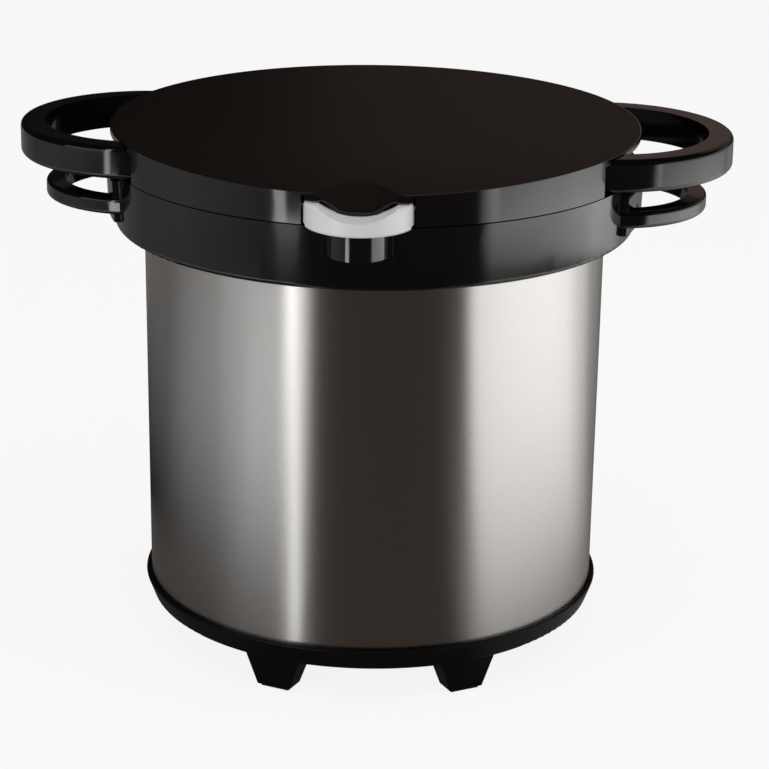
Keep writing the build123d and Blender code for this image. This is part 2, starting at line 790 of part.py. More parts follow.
def build_lever():
    """The white latch lever: a crescent with a round hollow, two pivot arms and two heels."""
    low = parting_height + lever_bottom
    height = lever_top - lever_bottom
    left = (-lever_half_width, -lever_root)
    right = (lever_half_width, -lever_root)
    outline = ThreePointArc(left, (0, -lever_front), right) + Line(right, left)
    body = Pos(0, 0, low) * extrude(make_face(outline), height)
    body = fillet(body.edges().group_by(Axis.Z)[-1].sort_by(Axis.Y)[0], lever_round)
    body = fillet(body.edges().group_by(Axis.Z)[0].sort_by(Axis.Y)[0], lever_round)
    body -= disc(lid_radius + notch_gap, 0, parting_height + lever_lip_height)
    bend = (lever_hollow_half_width ** 2 + lever_hollow_depth ** 2) / (2 * lever_hollow_depth)
    body -= rod_y(bend, -far, 0, 0, parting_height + lever_top - lever_hollow_depth + bend)
    heel_high = pivot_z + heel_thickness / 2
    for side in (-1, 1):
        ends = sorted((side * arm_inner, side * arm_outer))
        body += rod_x(pivot_knuckle_radius, ends[0], ends[1], -pivot_y, pivot_z)
        arm_low = pivot_z - pivot_knuckle_radius
        body += block(ends[0], ends[1], -lever_root, -pivot_y, arm_low, parting_height + lever_top)
        rear = pivot_y - heel_length
        body += block(ends[0], ends[1], -pivot_y, -rear, heel_high - heel_thickness, heel_high)
    body -= thumb_dish(plate_wall + lever_dish_gap) & disc(lid_radius + notch_gap, 0, lid_top)
    body -= rod_x(pivot_pin_radius + running_gap, -far, far, -pivot_y, pivot_z)
    slot_high = parting_height + hook_tongue
    front = hook_front
    back = hook_front - hook_thickness
    body -= block(-hook_half_width, hook_half_width, -front, -back, low, slot_high)
    return body


def build_latch_hook():
    """The steel hook set into the lever, with its nose towards the cooker."""
    high = parting_height + hook_tongue
    low = parting_height - hook_drop
    half = hook_half_width
    back = hook_front - hook_thickness
    plate = block(-half, half, -hook_front, -back, low, high)
    nose = block(-half, half, -back, -back + hook_nose, low, low + hook_nose_height)
    return plate + nose


def build_lever_pins():
    """Two short steel pins, one in each cheek of the pocket, that the lever turns on."""
    outer = lever_half_width + notch_gap + pocket_wall
    pin = rod_x(pivot_pin_radius, arm_inner - spring_wire, outer, -pivot_y, pivot_z)
    return both_sides(pin)


def build_lever_spring():
    """The return spring under each heel of the lever, between the heel and its shelf."""
    low = lid_low + spring_shelf
    high = pivot_z - heel_thickness / 2
    height = high - low - spring_wire
    pitch = height / spring_turns
    path = Helix(pitch, height, spring_radius)
    start = Plane(path @ 0, z_dir=path % 0)
    wire = sweep(start * Circle(spring_wire / 2), path)
    rear = pivot_y - heel_length
    middle = (arm_inner + arm_outer) / 2
    y = -(rear + spring_radius + spring_wire / 2)
    spring = Pos(middle, y, low + spring_wire / 2) * wire
    return both_sides(spring)


def build_inner_pot():
    """The deep-drawn cooking pot with its beaded rim."""
    outline = Polyline(
        (0, pot_bottom), (pot_radius, pot_bottom), (pot_radius, pot_rim_height), (0, pot_rim_height),
        (0, pot_bottom))
    pot = turned(outline)
    pot = fillet(pot.edges().group_by(Axis.Z)[0], pot_corner)
    pot += ring(pot_rim_radius, pot_radius - pot_wall, pot_rim_height - pot_rim_bead, pot_rim_height)
    inside = disc(pot_radius - pot_wall, pot_bottom + pot_wall, pot_rim_height + overrun)
    inside = fillet(inside.edges().group_by(Axis.Z)[0], pot_corner - pot_wall)
    return pot - inside


def build_pot_base_disc():
    """The thick heat-spreading disc under the pot."""
    plate = disc(pot_disc_radius, pot_low, pot_bottom)
    return fillet(plate.edges().group_by(Axis.Z)[0], pot_disc_round)


def ear_rivet_places():
    """Where the ears are riveted to the pot's wall: along Y, and down from the rim."""
    z = pot_rim_height - rivet_drop
    return [(-rivet_spacing / 2, z), (rivet_spacing / 2, z)]


def build_pot_ears():
    """The two ears below the rim that hold the ends of the bail."""
    inner = pot_radius + snug_gap
    outer = pot_radius + ear_thickness
    high = pot_rim_height - pot_rim_bead
    low = high - ear_height
    ear = block(0, outer, -ear_half_width, ear_half_width, low, high)
    ear -= disc(inner, 0, far)
    ear -= rod_x(bail_wire + running_gap, outer - ear_hole_depth, far, 0, bail_z)
    for y, z in ear_rivet_places():
        ear -= rod_x(rivet_radius, 0, far, y, z)
    return both_sides(ear)


def build_ear_rivets():
    """The rivets that hold the ears to the pot."""
    rivets = []
    for y, z in ear_rivet_places():
        outer = pot_radius + ear_thickness
        shank_low = sqrt((pot_radius + seat_gap) ** 2 - (abs(y) - rivet_radius) ** 2)
        shank = rod_x(rivet_radius, shank_low, outer, y, z)
        head = rod_x(rivet_head_radius, outer, outer + rivet_head_height, y, z)
        rivets.append(shank + head)
    return Compound(rivets + [mirror(one, Plane.YZ) for one in rivets])


def bail_place():
    """The bail's own plane: about its pivots, raised a little from level."""
    return Pos(0, 0, bail_z) * Rot(X=-bail_rest_angle)


def build_bail():
    """The wire bail: a half circle whose ends turn in to the ears."""
    path = CenterArc((0, 0, 0), bail_reach, 180, 180)
    hoop = sweep(Plane(path @ 0, z_dir=path % 0) * Circle(bail_wire), path)
    hoop = bail_place() * hoop
    ear_face = pot_radius + ear_thickness
    pin = rod_x(bail_wire, ear_face - ear_hole_depth + seat_gap, bail_reach, 0, bail_z)
    corner = Pos(bail_reach, 0, bail_z) * Sphere(bail_wire)
    return hoop + pin + corner + mirror(pin, Plane.YZ) + mirror(corner, Plane.YZ)


def build_bail_grip():
    """The black grip round the middle of the bail."""
    start = 270 - grip_half_angle
    path = CenterArc((0, 0, 0), bail_reach, start, grip_half_angle * 2)
    section = Plane(path @ 0, z_dir=path % 0) * (Circle(grip_radius) - Circle(bail_wire + running_gap))
    return bail_place() * sweep(section, path)


def build_pot_lid():
    """The shallow domed lid of the pot, with a flange on the rim and a skirt inside it."""
    rim = pot_rim_height + pot_rest_gap
    crown = rim + pot_lid_rise
    wall = pot_lid_wall
    shoulder = pot_lid_shoulder_radius
    sag = pot_lid_rise * pot_lid_crown_share
    outside = ThreePointArc((0, crown), (shoulder / 2, crown - sag), (shoulder, rim + wall))
    outline = outside + Line((shoulder, rim + wall), (shoulder, rim)) + Line((shoulder, rim), (0, rim))
    dome = turned(outline + Line((0, rim), (0, crown)))
    hollow_arc = ThreePointArc(
        (0, crown - wall), (shoulder / 2, crown - wall - sag), (shoulder - wall, rim - wall))
    hollow = hollow_arc + Line((shoulder - wall, rim - wall), (0, rim - wall))
    dome -= turned(hollow + Line((0, rim - wall), (0, crown - wall)))
    flange = ring(pot_lid_radius, shoulder - wall * 2, rim, rim + wall)
    skirt_low = rim - pot_lid_skirt_depth
    skirt = ring(pot_lid_skirt_radius, pot_lid_skirt_radius - wall, skirt_low, rim + wall / 2)
    lid = dome + flange + skirt
    return lid - rod_z(knob_screw_radius + running_gap, 0, far * 2, 0, 0)


def knob_low():
    """Where the knob stands: just on the crown of the pot's lid."""
    return pot_rim_height + pot_rest_gap + pot_lid_rise


def build_pot_knob():
    """The black knob of the pot's lid."""
    low = knob_low()
    neck_high = low + knob_neck_height
    knob = disc(knob_radius, neck_high, neck_high + knob_height)
    knob = fillet(knob.edges(), knob_round)
    knob += disc(knob_neck_radius, low, neck_high + knob_height / 2)
    return knob - rod_z(knob_screw_radius, low, neck_high + knob_height / 2, 0, 0)


def build_knob_screw():
    """The screw that holds the knob, put in from inside the pot's lid."""
    head_high = knob_low() - pot_lid_wall - seat_gap
    shank = disc(knob_screw_radius, head_high - seat_gap, knob_low() + knob_neck_height + knob_screw_grip)
    head = disc(knob_screw_head_radius, head_high - knob_screw_head_height, head_high)
    return shank + head


nodes = {
    "outer_shell": build_outer_shell(),
    "inner_shell": build_inner_shell(),
    "vacuum_seal_disc": build_vacuum_seal_disc(),
    "getter_strip": build_getter_strip(),
    "collar": build_collar(),
    "collar_gasket": build_collar_gasket(),
    "base_cap": build_base_cap(),
    "foot_pads": build_foot_pads(),
    "body_handle_left": build_body_handle(-1),
    "body_handle_right": build_body_handle(1),
    "body_handle_screws": build_body_handle_screws(),
    "latch_boss": build_latch_boss(),
    "keeper_plate": build_keeper_plate(),
    "hinge_socket": build_hinge_socket(),
    "hinge_socket_screws": build_hinge_socket_screws(),
    "hinge_block": build_hinge_block(),
    "hinge_pin": build_hinge_pin(),
    "lid_skirt": build_lid_skirt(),
    "lid_top_plate": build_lid_top_plate(),
    "lid_liner": build_lid_liner(),
    "lid_liner_screws": build_lid_liner_screws(),
    "lid_foam": build_lid_foam(),
    "lid_seal": build_lid_seal(),
    "lid_handle_left": build_lid_handle(-1),
    "lid_handle_right": build_lid_handle(1),
    "lid_handle_screws": build_lid_handle_screws(),
    "lever": build_lever(),
    "latch_hook": build_latch_hook(),
    "lever_pins": build_lever_pins(),
    "lever_springs": build_lever_spring(),
    "inner_pot": build_inner_pot(),
    "pot_base_disc": build_pot_base_disc(),
    "pot_ears": build_pot_ears(),
    "ear_rivets": build_ear_rivets(),
    "bail": build_bail(),
    "bail_grip": build_bail_grip(),
    "pot_lid": build_pot_lid(),
    "pot_knob": build_pot_knob(),
    "knob_screw": build_knob_screw(),
}

os.makedirs("parts", exist_ok=True)
for name, shape in nodes.items():
    export_step(shape, "parts/" + name + ".step")
    print(name, round(shape.volume), "cubic mm")
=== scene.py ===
from math import cos, radians, sin, tau

import bmesh
import bpy
from mathutils import Matrix, Vector


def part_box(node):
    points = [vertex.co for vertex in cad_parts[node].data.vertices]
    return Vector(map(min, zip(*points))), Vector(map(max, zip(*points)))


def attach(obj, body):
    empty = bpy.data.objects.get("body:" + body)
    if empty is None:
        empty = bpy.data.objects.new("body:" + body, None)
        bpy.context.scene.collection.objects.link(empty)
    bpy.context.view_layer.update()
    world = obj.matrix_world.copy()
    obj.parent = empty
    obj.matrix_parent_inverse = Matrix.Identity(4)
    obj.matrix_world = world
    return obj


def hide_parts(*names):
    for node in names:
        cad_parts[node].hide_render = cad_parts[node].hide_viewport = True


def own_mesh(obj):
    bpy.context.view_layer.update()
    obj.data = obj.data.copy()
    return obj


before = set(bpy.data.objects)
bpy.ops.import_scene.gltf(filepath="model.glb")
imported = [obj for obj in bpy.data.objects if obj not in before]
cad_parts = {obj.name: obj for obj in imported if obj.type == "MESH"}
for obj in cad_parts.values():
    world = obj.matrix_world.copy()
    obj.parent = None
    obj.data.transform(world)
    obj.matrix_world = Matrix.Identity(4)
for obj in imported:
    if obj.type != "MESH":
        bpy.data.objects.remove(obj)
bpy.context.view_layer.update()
mm = 0.001

# The camera stands where the photograph was taken from: a metre and a half away, a little above the
# cooker and a little to the right of the line through its lever, with a long lens.
camera_place = Vector((85.6, -1473.1, 639.1)) * mm
camera_target = Vector((6.5, 0.4, 136.2)) * mm
camera_roll = radians(0.774)
camera = bpy.data.objects.new("camera", bpy.data.cameras.new("camera"))
bpy.context.scene.collection.objects.link(camera)
bpy.context.scene.camera = camera
camera.data.lens = 132.0
camera.data.sensor_width = 36.0
camera.data.clip_start = 0.05
camera.data.clip_end = 60.0
aim = (camera_target - camera_place).to_track_quat("-Z", "Y").to_matrix()
camera.matrix_world = Matrix.Translation(camera_place) @ (aim @ Matrix.Rotation(camera_roll, 3, "Z")).to_4x4()
bpy.context.scene.view_settings.view_transform = "Standard"


# The studio floor is a wide pale sheet, one large square, that takes the cooker's shadow. To the
# camera it mostly glows, so that it looks nearly white.
class Shade:
    """A socket in a finish's node tree. Sums on it add Math nodes, and node() adds any other."""

    def __init__(self, tree, socket=None):
        self.tree = tree
        self.socket = socket

    def node(self, kind, settings=None, sockets=None, out=0):
        """Adds a node of a type: its settings first, then the values or links of its sockets."""
        made = self.tree.nodes.new(kind)
        for name, value in (settings or {}).items():
            if name == "stops":
                elements = made.color_ramp.elements
                for place, shade in value[2:]:
                    elements.new(place)
                for element, (place, shade) in zip(elements, sorted(value)):
                    element.position = place
                    element.color = shade
            else:
                setattr(made, name, value)
        self.feed(made, sockets or {})
        return Shade(self.tree, made.outputs[out])

    def feed(self, node, sockets):
        """Links or sets sockets of a node."""
        for key, value in sockets.items():
            if isinstance(value, Shade):
                self.tree.links.new(value.socket, node.inputs[key])
            else:
                node.inputs[key].default_value = value

    def maths(self, operation, one, other=0.0):
        return self.node("ShaderNodeMath", {"operation": operation}, {0: one, 1: other})

    def __add__(self, other):
        return self.maths("ADD", self, other)

    def __radd__(self, other):
        return self.maths("ADD", other, self)

    def __mul__(self, other):
        return self.maths("MULTIPLY", self, other)

    def __rmul__(self, other):
        return self.maths("MULTIPLY", other, self)

    def between(self, low, high):
        """A value between two, by this value."""
        return self * (high - low) + low

    def blend(self, low, high):
        """A colour between two, by this value."""
        return self.node("ShaderNodeMix", {"data_type": "RGBA"}, {0: self, 6: low, 7: high}, 2)

    def noise(self, waves, detail=3.0, stretch=(1.0, 1.0, 1.0)):
        """A noise value over the piece's own coordinates, in waves to the metre, stretched by axis."""
        place = self.node("ShaderNodeTexCoord", out="Object")
        place = self.node("ShaderNodeMapping", None, {"Vector": place, "Scale": stretch})
        sockets = {"Vector": place, "Scale": waves, "Detail": detail}
        return self.node("ShaderNodeTexNoise", None, sockets, "Fac")

    def bump(self, depth):
        """A surface that rises and falls by this value, to a depth in metres."""
        return self.node("ShaderNodeBump", None, {"Height": self, "Distance": depth}, "Normal")

    def glow(self, colour, strength):
        """A shader that gives light of its own."""
        return self.node("ShaderNodeEmission", None, {"Color": colour, "Strength": strength})

    def show(self):
        """Makes this shader the one that its finish shows."""
        self.tree.links.new(self.socket, self.tree.nodes["Material Output"].inputs["Surface"])


def new_finish(name, fixed):
    """A material with fixed values set on its shader; gives it, its shader and a start for its nodes."""
    material = bpy.data.materials.new(name)
    material.use_nodes = True
    shader = material.node_tree.nodes["Principled BSDF"]
    for key, value in fixed.items():
        shader.inputs[key].default_value = value
    return material, shader, Shade(material.node_tree)


def add_object(name, bm, material, crease=32.0):
    """Makes an object of a bmesh, smooth but for its creases."""
    mesh = bpy.data.meshes.new(name)
    bm.to_mesh(mesh)
    bm.free()
    mesh.shade_smooth()
    mesh.set_sharp_from_angle(angle=radians(crease))
    mesh.materials.append(material)
    made = bpy.data.objects.new(name, mesh)
    bpy.context.scene.collection.objects.link(made)
    return made


floor_size = 40.0
floor_waves = 3.0
floor_low = (0.84, 0.84, 0.84, 1.0)
floor_high = (0.87, 0.87, 0.87, 1.0)
floor_glow = 0.88
pure_white = (1.0, 1.0, 1.0, 1.0)
floor_finish, floor_shader, shade = new_finish("floor_sheet", {"Roughness": 0.9, "Specular IOR Level": 0.0})
shade.feed(floor_shader, {"Base Color": shade.noise(floor_waves).blend(floor_low, floor_high)})
seen = shade.node("ShaderNodeLightPath", out="Is Camera Ray") * floor_glow
lit = Shade(shade.tree, floor_shader.outputs[0])
shade.node("ShaderNodeMixShader", None, {0: seen, 1: lit, 2: shade.glow(pure_white, 1.0)}).show()
bm = bmesh.new()
bmesh.ops.create_grid(bm, x_segments=1, y_segments=1, size=floor_size / 2)
floor = add_object("floor", bm, floor_finish)

# The steel and the gloss plastic mirror the table that the cooker was photographed on, made as a disc
# that glows: a brown glow for the cloth before it, and painted light over it, paler at its left and
# bright at its right. It shows in mirrors alone.
photo_side = radians(3.2)
table_radius = 2.4
table_height = 1.0 * mm
table_cloth_glow = (0.073, 0.060, 0.051, 1.0)
table_light_tint = (1.0, 1.0, 0.985, 1.0)
table_near = 0.2
table_far = 0.95
table_climb = 0.8
table_strength = 4.0
table_far_levels = [
    (-180, 0.03), (180, 0.03), (-112, 0.042), (-84, 0.10), (-60, 0.09), (-41, 0.05), (-30, 0.0),
    (42, 0.0), (48, 0.82), (104, 0.82), (116, 0.50), (130, 0.14), (150, 0.04)]
table_near_levels = [
    (-180, 0.01), (180, 0.01), (-41, 0.006), (-30, 0.0), (30, 0.0), (38, 0.05), (95, 0.05), (125, 0.02)]


def studio_places(shade):
    """The height, the distance from the middle and the bearing, 0.5 at the front, of a place."""
    place = shade.node("ShaderNodeTexCoord", out="Object")
    place = shade.node("ShaderNodeSeparateXYZ", None, {"Vector": place})
    x, y, z = (Shade(shade.tree, output) for output in place.socket.node.outputs)
    bearing = shade.maths("ARCTAN2", x, y * -1.0) * (1 / tau) + (0.5 - photo_side / tau)
    return z, shade.maths("SQRT", x * x + y * y), bearing


def by_bearing(shade, bearing, levels):
    """A grey that changes with the bearing, from pairs of a bearing in degrees and a level."""
    stops = [(0.5 + turn / 360, (level, level, level, 1.0)) for turn, level in levels]
    return shade.node("ShaderNodeValToRGB", {"stops": stops}, {"Fac": bearing})


def level_of(shade, grey):
    """The level of a grey, as a value."""
    return shade.node("ShaderNodeSeparateColor", None, {"Color": grey})


def mirrored_only(piece):
    """Leaves a studio piece visible to glossy rays alone."""
    piece.visible_camera = False
    piece.visible_diffuse = False
    piece.visible_shadow = False
    piece.visible_transmission = False


table_finish, _, shade = new_finish("mirror_table", {})
_, radius, bearing = studio_places(shade)
far_level = by_bearing(shade, bearing, table_far_levels)
near_level = by_bearing(shade, bearing, table_near_levels)
outward = shade.node(
    "ShaderNodeMapRange", None, {"Value": radius, "From Min": table_near, "From Max": table_far})
level = shade.maths("POWER", outward, table_climb).blend(near_level, far_level)
# The pale glow is painted light, set by bearing and rising outward; the brown glow under it is the cloth.
lit_part = shade.glow(table_light_tint, level_of(shade, level) * table_strength)
brown_part = shade.glow(table_cloth_glow, 1.0)
shade.node("ShaderNodeAddShader", None, {0: lit_part, 1: brown_part}).show()
bm = bmesh.new()
bmesh.ops.create_circle(bm, cap_ends=True, segments=96, radius=table_radius)
bmesh.ops.translate(bm, verts=bm.verts, vec=(0, 0, table_height))
mirrored_only(add_object("mirror_table", bm, table_finish))


# Bright cards stand on that table and lie on it, narrow ones at the left front and wide ones at the
# right and behind. They are sheets bent to an arc round the cooker, and show in mirrors alone.
def card_finish(name, span, strengths, levels, outward, colour):
    """A glowing card: its strength changes up its height, or outward if it lies flat, and by bearing."""
    finish, _, shade = new_finish(name, {})
    height, radius, bearing = studio_places(shade)
    sockets = {"Value": radius if outward else height, "From Min": span[0], "From Max": span[1]}
    sockets.update({"To Min": strengths[0], "To Max": strengths[1]})
    strength = shade.node("ShaderNodeMapRange", None, sockets)
    strength = strength * level_of(shade, by_bearing(shade, bearing, levels))
    shade.glow(colour, strength).show()
    return finish


def curved_card(name, inner, outer, turns, finish, steps):
    """A sheet that runs round the cooker on an arc, between two edges given by distance and height."""
    bm = bmesh.new()
    ends = [bm.verts.new((0, -inner[0], inner[1])), bm.verts.new((0, -outer[0], outer[1]))]
    ends.append(bm.edges.new(ends))
    start = Matrix.Rotation(photo_side + radians(turns[0]), 3, "Z")
    sweep = turns[1] - turns[0]
    bmesh.ops.rotate(bm, verts=ends[:2], cent=(0, 0, 0), matrix=start)
    bmesh.ops.spin(
        bm, geom=ends, cent=(0, 0, 0), axis=(0, 0, 1), angle=radians(sweep), steps=steps,
        use_merge=sweep == 360)
    mirrored_only(add_object(name, bm, finish))


card_warm = (1.0, 0.74, 0.66, 1.0)
card_colours = {"back_card": card_warm, "dark_band": card_warm}
even_levels = [(-180, 1.0), (180, 1.0)]
card_levels = {
    "left_strip": [(-150, 0.03), (-115, 0.11), (-93, 0.32), (-75, 0.46), (-63, 0.62), (-54, 0.95)],
    "side_card": [(46, 0.72), (70, 0.95), (90, 0.90), (105, 0.62), (128, 0.15)],
}
strip_span = (0.2, 0.66)
strip_glow = (1.3, 2.2)

# Each card has an inner and an outer edge, as distance and height, the bearings that it runs between,
# its steps, and a span, in height or, if it lies flat, in distance, with the strengths at its ends.
cards = [
    ("window_card", (0.905, 0.0), (0.905, 0.95), (-39.2, -34.7), 24, (0.0, 0.5), (5.2, 5.4)),
    ("window_foot", (0.90, 0.0), (0.90, 0.05), (-40.5, -28.5), 24, (0.0, 0.05), (8.0, 8.0)),
    ("window_edge", (0.79, 0.003), (0.83, 0.003), (-38.7, -30.0), 24, strip_span, strip_glow),
    ("left_card", (0.97, 0.08), (0.97, 0.62), (-74.0, -39.5), 24, (0.0, 0.5), (0.5, 1.0)),
    ("left_strip", (0.24, 0.002), (0.66, 0.002), (-150.0, -38.0), 72, (0.28, 0.66), (0.0, 2.9)),
    ("side_card", (0.97, 0.0), (0.97, 0.42), (50.0, 128.0), 24, (0.0, 0.12), (4.6, 1.35)),
    ("back_card", (0.62, 0.34), (0.62, 0.75), (110.0, 185.0), 24, (0.34, 0.75), (0.17, 0.17)),
    ("dark_band", (0.69, 0.0035), (0.765, 0.0035), (-47.0, 118.0), 48, (0.6, 0.8), (0.06, 0.06)),
]
for name, inner, outer, turns, steps, span, strengths in cards:
    levels = card_levels.get(name, even_levels)
    colour = card_colours.get(name, pure_white)
    finish = card_finish(name, span, strengths, levels, inner[1] == outer[1], colour)
    curved_card(name, inner, outer, turns, finish, steps)

# One more card lies flat on the table, a strip that widens outward. Its two edges run so that the
# can's wall mirrors them upright.
wall_radius = 0.138
strip_height = 3.0 * mm
strip_reach = (0.04, 0.53)
strip_turns = (-21.3, -18.3)
bm = bmesh.new()
for turn, reach in ((0, 0), (1, 0), (1, 1), (0, 1)):
    bearing = radians(strip_turns[turn])
    across = wall_radius * sin(bearing) + strip_reach[reach] * sin(2 * bearing)
    along = wall_radius * cos(bearing) + strip_reach[reach] * cos(2 * bearing)
    bm.verts.new((across, -along, strip_height))
bmesh.ops.contextual_create(bm, geom=bm.verts)
bmesh.ops.rotate(bm, verts=bm.verts, cent=(0, 0, 0), matrix=Matrix.Rotation(photo_side, 3, "Z"))
window_strip = card_finish("window_strip", strip_span, strip_glow, even_levels, True, pure_white)
mirrored_only(add_object("window_strip", bm, window_strip))

# The drape is dark cloth that hangs in a ring round the studio, under a canopy of the same cloth, so
# that the gloss black mirrors little but the cards.
drape_radius = 2.6
drape_top = 2.7
drape_steps = 72
drape_waves = 2.0
drape_low = (0.030, 0.024, 0.022, 1.0)
drape_high = (0.042, 0.034, 0.031, 1.0)
canopy_hole = 1.0 * mm
drape_finish, drape_shader, shade = new_finish("studio_drape", {"Roughness": 1.0, "Specular IOR Level": 0.0})
shade.feed(drape_shader, {"Base Color": shade.noise(drape_waves).blend(drape_low, drape_high)})
drape_foot = (drape_radius, 0.0)
drape_head = (drape_radius, drape_top)
curved_card("studio_drape", drape_foot, drape_head, (0.0, 360.0), drape_finish, drape_steps)
curved_card("studio_canopy", (canopy_hole, drape_top), drape_head, (0.0, 360.0), drape_finish, drape_steps)

# The light is soft and comes from a narrow window at the left front, a wide one at the right and a
# broad one above, in a pale room. The top one looks down at the cooker's middle, the others level.
cooker_middle = 0.16
lights = [
    ("window_light", -45.0, 0.85, 0.42, 0.42, 0.17, 0.80, 1.3),
    ("side_light", 84.0, 0.95, 0.40, 0.40, 0.90, 0.76, 2.2),
    ("top_light", 20.0, 0.60, 1.60, cooker_middle, 1.3, 1.3, 7.0),
]
for name, azimuth, distance, height, aimed_height, width, tall, power in lights:
    lamp = bpy.data.lights.new(name, "AREA")
    lamp.shape = "RECTANGLE"
    lamp.size = width
    lamp.size_y = tall
    lamp.energy = power
    lamp_object = bpy.data.objects.new(name, lamp)
    bpy.context.scene.collection.objects.link(lamp_object)
    turn = Matrix.Rotation(radians(azimuth) + photo_side, 3, "Z")
    place = turn @ Vector((0, -distance, height))
    lamp_object.location = place
    lamp_object.rotation_mode = "QUATERNION"
    lamp_object.rotation_quaternion = (Vector((0, 0, aimed_height)) - place).to_track_quat("-Z", "Y")
    lamp_object.visible_camera = False
    lamp_object.visible_glossy = False

# The room is a plain pale one. It looks white to the camera and in mirrors, and gives the cooker less
# light than that.
room_level = 0.42
world = bpy.data.worlds.new("pale_room")
bpy.context.scene.world = world
world.use_nodes = True
shade = Shade(world.node_tree)
background = world.node_tree.nodes["Background"]
seen_white = shade.node("ShaderNodeLightPath", out="Is Camera Ray")
for ray in ("Is Glossy Ray", "Is Transmission Ray"):
    seen_white = shade.maths("MAXIMUM", seen_white, shade.node("ShaderNodeLightPath", out=ray))
shade.feed(background, {"Color": pure_white, "Strength": seen_white.between(room_level, 1.0)})

# The container's outside is a deep-drawn stainless can, open at the top. A belt brushed it round
# its body, so its fine lines run round it and its highlights stand up and down.
steel_low = (0.45, 0.44, 0.43, 1.0)
steel_high = (0.52, 0.508, 0.498, 1.0)
line_share = 0.5
line_depth = 0.004 * mm
brushed_steel, steel_shader, shade = new_finish(
    "brushed_steel_outside", {"Metallic": 1.0, "Anisotropic": 0.9, "Anisotropic Rotation": 0.25})
fine_lines = shade.noise(waves=260.0, detail=4.0, stretch=(0.5, 0.5, 12.0))
long_lines = shade.noise(waves=90.0, stretch=(0.5, 0.5, 16.0))
shade.feed(steel_shader, {
    "Base Color": (fine_lines * line_share + long_lines * line_share).blend(steel_low, steel_high),
    "Roughness": fine_lines.between(0.25, 0.33),
    "Normal": fine_lines.bump(line_depth),
})


def dress(finish, *names):
    """Gives carried-over parts their finish."""
    for name in names:
        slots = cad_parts[name].data.materials
        slots.clear()
        slots.append(finish)


dress(brushed_steel, "outer_shell")


# The liner is drawn from thinner stainless, with a stepped mouth that is welded to the outside at
# its rim. The disc under the bottom is brazed over the hole that the air was drawn out of.
def grained(name, waves, detail, low, high, rough, rougher, depth=0.0, stretch=(1.0, 1.0, 1.0), **fixed):
    """A finish with one grain: a colour between two, a roughness between two, and relief to a depth."""
    finish, shader, shade = new_finish(name, fixed)
    grain = shade.noise(waves, detail, stretch)
    shade.feed(shader, {"Base Color": grain.blend(low, high), "Roughness": grain.between(rough, rougher)})
    if depth:
        shade.feed(shader, {"Normal": grain.bump(depth)})
    return finish


satin_steel = grained(
    "satin_steel", waves=90.0, detail=4.0, stretch=(1.0, 1.0, 9.0), low=(0.59, 0.58, 0.57, 1.0),
    high=(0.64, 0.635, 0.63, 1.0), rough=0.24, rougher=0.30, depth=0.001 * mm, Metallic=1.0)
dress(satin_steel, "inner_shell", "vacuum_seal_disc")

# The getter is a strip of dull grey powder metal. It lies in the vacuum under the liner's floor and
# takes up stray gas, which keeps the vacuum good.
getter_metal = grained(
    "getter_metal", waves=400.0, detail=3.0, low=(0.36, 0.35, 0.35, 1.0), high=(0.5, 0.49, 0.48, 1.0),
    rough=0.5, rougher=0.7, Metallic=1.0)
dress(getter_metal, "getter_strip")

# The collar is one hollow moulding in gloss black plastic that hangs on the container's rim. Its
# lower edge is rounded and turns in to the steel.
merge_reach = 0.002 * mm
flat_turn = 0.3
sharp_turn = 32.0


def soften(name, node, body, finish, width, turn=sharp_turn):
    """A merged copy of a carried-over part with its sharp edges rounded off, in the part's place."""
    bm = bmesh.new()
    bm.from_mesh(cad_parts[node].data)
    bmesh.ops.remove_doubles(bm, verts=bm.verts, dist=merge_reach)
    bmesh.ops.dissolve_limit(
        bm, angle_limit=radians(flat_turn), use_dissolve_boundaries=False, verts=bm.verts, edges=bm.edges)
    sharp = [e for e in bm.edges if len(e.link_faces) == 2 and e.calc_face_angle() > radians(turn)]
    bmesh.ops.bevel(
        bm, geom=sharp, offset=width, offset_type="OFFSET", segments=2, profile=0.5, affect="EDGES",
        clamp_overlap=True, material=-1)
    piece = add_object(name, bm, finish, crease=40.0)
    weigh = piece.modifiers.new("even_shading", "WEIGHTED_NORMAL")
    weigh.keep_sharp = True
    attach(piece, body)
    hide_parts(node)


gloss_low = (0.0015, 0.0015, 0.0017, 1.0)
gloss_high = (0.003, 0.003, 0.0033, 1.0)
ripple_depth = 0.03 * mm
collar_edge = 0.45 * mm
gloss_black, gloss_shader, shade = new_finish("gloss_black", {"IOR": 1.5})
smears = shade.noise(waves=26.0, detail=5.0)
ripple = shade.noise(waves=40.0, detail=1.0)
shade.feed(gloss_shader, {
    "Base Color": smears.blend(gloss_low, gloss_high),
    "Roughness": smears.between(0.05, 0.15),
    "Normal": ripple.bump(ripple_depth),
})
soften("collar_moulding", "collar", "container", gloss_black, collar_edge)

# A ring of grey silicone, moulded in one piece, lies under the collar's lip. The lip squeezes it on
# the steel rim, and it keeps water out of the collar.
grey_silicone = grained(
    "grey_silicone", waves=300.0, detail=3.0, low=(0.46, 0.46, 0.45, 1.0), high=(0.56, 0.56, 0.55, 1.0),
    rough=0.45, rougher=0.57)
dress(grey_silicone, "collar_gasket")

# The base cap is a satin black cup with a thin lip round the steel, moulded in one with its four
# tapered feet.
satin_black_low = (0.003, 0.003, 0.003, 1.0)
satin_black_high = (0.006, 0.0058, 0.0058, 1.0)
base_grain_depth = 0.04 * mm
base_edge = 0.5 * mm
satin_black, satin_black_shader, shade = new_finish("satin_black", {"Specular IOR Level": 0.12})
grain = shade.noise(waves=1600.0, detail=2.0)
wear = shade.noise(waves=18.0, detail=4.0)
shade.feed(satin_black_shader, {
    "Base Color": wear.blend(satin_black_low, satin_black_high),
    "Roughness": wear.between(0.28, 0.40),
    "Normal": grain.bump(base_grain_depth),
})
soften("base_moulding", "base_cap", "container", satin_black, base_edge)

